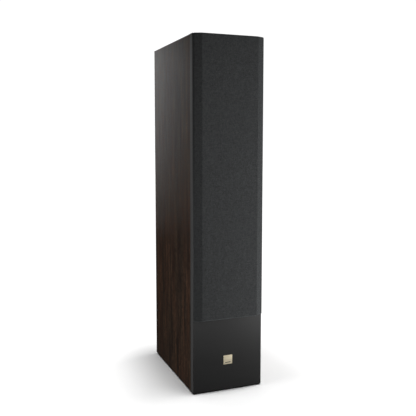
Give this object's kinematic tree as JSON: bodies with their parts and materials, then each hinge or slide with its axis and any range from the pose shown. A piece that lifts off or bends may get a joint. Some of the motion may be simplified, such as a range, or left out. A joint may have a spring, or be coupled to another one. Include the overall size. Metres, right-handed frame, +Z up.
{
  "type": "floorstanding speaker",
  "caption": "Tall floorstanding loudspeaker with walnut sides, black baffle, pull-off cloth grille, moving drive units, rear ports and screw terminals.",
  "frame": {"origin": "centre of the footprint on the floor", "axes": "+Z up, the front faces -Y, +X to the right seen from the front"},
  "size_m": [0.24, 0.44, 1.141],
  "materials": {
    "walnut_veneer": "satin open-grain walnut veneer",
    "black_lacquer": "satin black lacquer on board",
    "black_back": "matt black textured foil on board",
    "bare_board": "bare fibreboard",
    "wadding": "loose polyester wadding",
    "insert_brass": "machined",
    "foot_rubber": "matt",
    "port_plastic": "fine moulded grain",
    "terminal_gold": "gold flashed",
    "cap_black": "clear over black",
    "cap_red": "clear over red",
    "circuit_board": "solder mask",
    "copper_wire": "enamelled copper winding",
    "capacitor_sleeve": "sleeved film",
    "resistor_ceramic": "fired ceramic body",
    "cable_jacket": "soft jacket",
    "screw_black": "blackened steel",
    "grille_plastic": "moulded",
    "grille_cloth": "black stretched grille cloth",
    "badge_gold": "brushed champagne",
    "tweeter_black": "fine moulded grain",
    "dome_silk": "coated woven dome",
    "ribbon_foil": "pleated foil",
    "coil_former": "wound former",
    "magnet_black": "ground ferrite",
    "basket_metal": "textured black coat on cast frame",
    "yoke_steel": "zinc passivated",
    "cone_paper": "coated fibre pulp",
    "surround_rubber": "satin",
    "spider_cloth": "resin-dipped corrugated cloth"
  },
  "bodies": {
    "cabinet": {"side_panels": "walnut_veneer", "top_and_bottom_panels": "walnut_veneer", "back_panel": "black_back", "front_baffle": "black_lacquer", "baffle_lamination": "bare_board", "midrange_enclosure": "bare_board", "window_braces": "bare_board", "damping_pads": "wadding", "foot_inserts": "insert_brass", "rubber_feet": "foot_rubber", "port_tubes": "port_plastic", "terminal_plate": "port_plastic", "terminal_studs": "terminal_gold", "terminal_links": "terminal_gold", "crossover_board": "circuit_board", "crossover_inductors": "copper_wire", "crossover_capacitors": "capacitor_sleeve", "crossover_resistors": "resistor_ceramic", "internal_wiring": "cable_jacket", "woofer_1_basket": "basket_metal", "woofer_1_magnet": "magnet_black", "woofer_1_yoke": "yoke_steel", "woofer_1_surround": "surround_rubber", "woofer_1_spider": "spider_cloth", "woofer_2_basket": "basket_metal", "woofer_2_magnet": "magnet_black", "woofer_2_yoke": "yoke_steel", "woofer_2_surround": "surround_rubber", "woofer_2_spider": "spider_cloth", "midrange_basket": "basket_metal", "midrange_magnet": "magnet_black", "midrange_yoke": "yoke_steel", "midrange_surround": "surround_rubber", "midrange_spider": "spider_cloth", "tweeter_plate": "tweeter_black", "tweeter_magnet": "magnet_black", "ribbon_housing": "tweeter_black", "mounting_screws": "screw_black", "grille_sockets": "foot_rubber", "badge": "badge_gold"},
    "grille": {"grille_stiles": "grille_plastic", "grille_rails": "grille_plastic", "grille_pins": "grille_plastic", "grille_cloth": "grille_cloth"},
    "woofer_1_cone_assembly": {"woofer_1_cone": "cone_paper", "woofer_1_dust_cap": "cone_paper", "woofer_1_voice_coil": "coil_former"},
    "woofer_2_cone_assembly": {"woofer_2_cone": "cone_paper", "woofer_2_dust_cap": "cone_paper", "woofer_2_voice_coil": "coil_former"},
    "midrange_cone_assembly": {"midrange_cone": "cone_paper", "midrange_dust_cap": "cone_paper", "midrange_voice_coil": "coil_former"},
    "tweeter_diaphragm": {"tweeter_dome": "dome_silk", "tweeter_voice_coil": "coil_former"},
    "ribbon_foil": {"ribbon": "ribbon_foil"},
    "terminal_cap_1": {"terminal_cap_1": "cap_black"},
    "terminal_cap_2": {"terminal_cap_2": "cap_red"},
    "terminal_cap_3": {"terminal_cap_3": "cap_black"},
    "terminal_cap_4": {"terminal_cap_4": "cap_red"}
  },
  "joints": [
    {"name": "grille_pull_off", "type": "slide", "parent": "cabinet", "child": "grille", "axis": [0, -1, 0], "range_m": [0, 0.2]},
    {"name": "woofer_1_excursion", "type": "slide", "parent": "cabinet", "child": "woofer_1_cone_assembly", "axis": [0, -1, 0], "range_m": [-0.006, 0.006], "stiffness_N_per_m": 1200, "deforming": ["woofer_1_surround", "woofer_1_spider"]},
    {"name": "woofer_2_excursion", "type": "slide", "parent": "cabinet", "child": "woofer_2_cone_assembly", "axis": [0, -1, 0], "range_m": [-0.006, 0.006], "stiffness_N_per_m": 1200, "deforming": ["woofer_2_surround", "woofer_2_spider"]},
    {"name": "midrange_excursion", "type": "slide", "parent": "cabinet", "child": "midrange_cone_assembly", "axis": [0, -1, 0], "range_m": [-0.003, 0.003], "stiffness_N_per_m": 1500, "deforming": ["midrange_surround", "midrange_spider"]},
    {"name": "tweeter_excursion", "type": "slide", "parent": "cabinet", "child": "tweeter_diaphragm", "axis": [0, -1, 0], "range_m": [-0.0005, 0.0005], "stiffness_N_per_m": 300},
    {"name": "ribbon_excursion", "type": "slide", "parent": "cabinet", "child": "ribbon_foil", "axis": [0, -1, 0], "range_m": [-0.0003, 0.0003], "stiffness_N_per_m": 100},
    {"name": "terminal_cap_1_turn", "type": "hinge", "parent": "cabinet", "child": "terminal_cap_1", "pos_m": [-0.019, 0.211, 0.146], "axis": [0, 1, 0], "range_deg": [0, 1170]},
    {"name": "terminal_cap_2_turn", "type": "hinge", "parent": "cabinet", "child": "terminal_cap_2", "pos_m": [0.019, 0.211, 0.146], "axis": [0, 1, 0], "range_deg": [0, 1170]},
    {"name": "terminal_cap_3_turn", "type": "hinge", "parent": "cabinet", "child": "terminal_cap_3", "pos_m": [-0.019, 0.211, 0.184], "axis": [0, 1, 0], "range_deg": [0, 1170]},
    {"name": "terminal_cap_4_turn", "type": "hinge", "parent": "cabinet", "child": "terminal_cap_4", "pos_m": [0.019, 0.211, 0.184], "axis": [0, 1, 0], "range_deg": [0, 1170]}
  ]
}
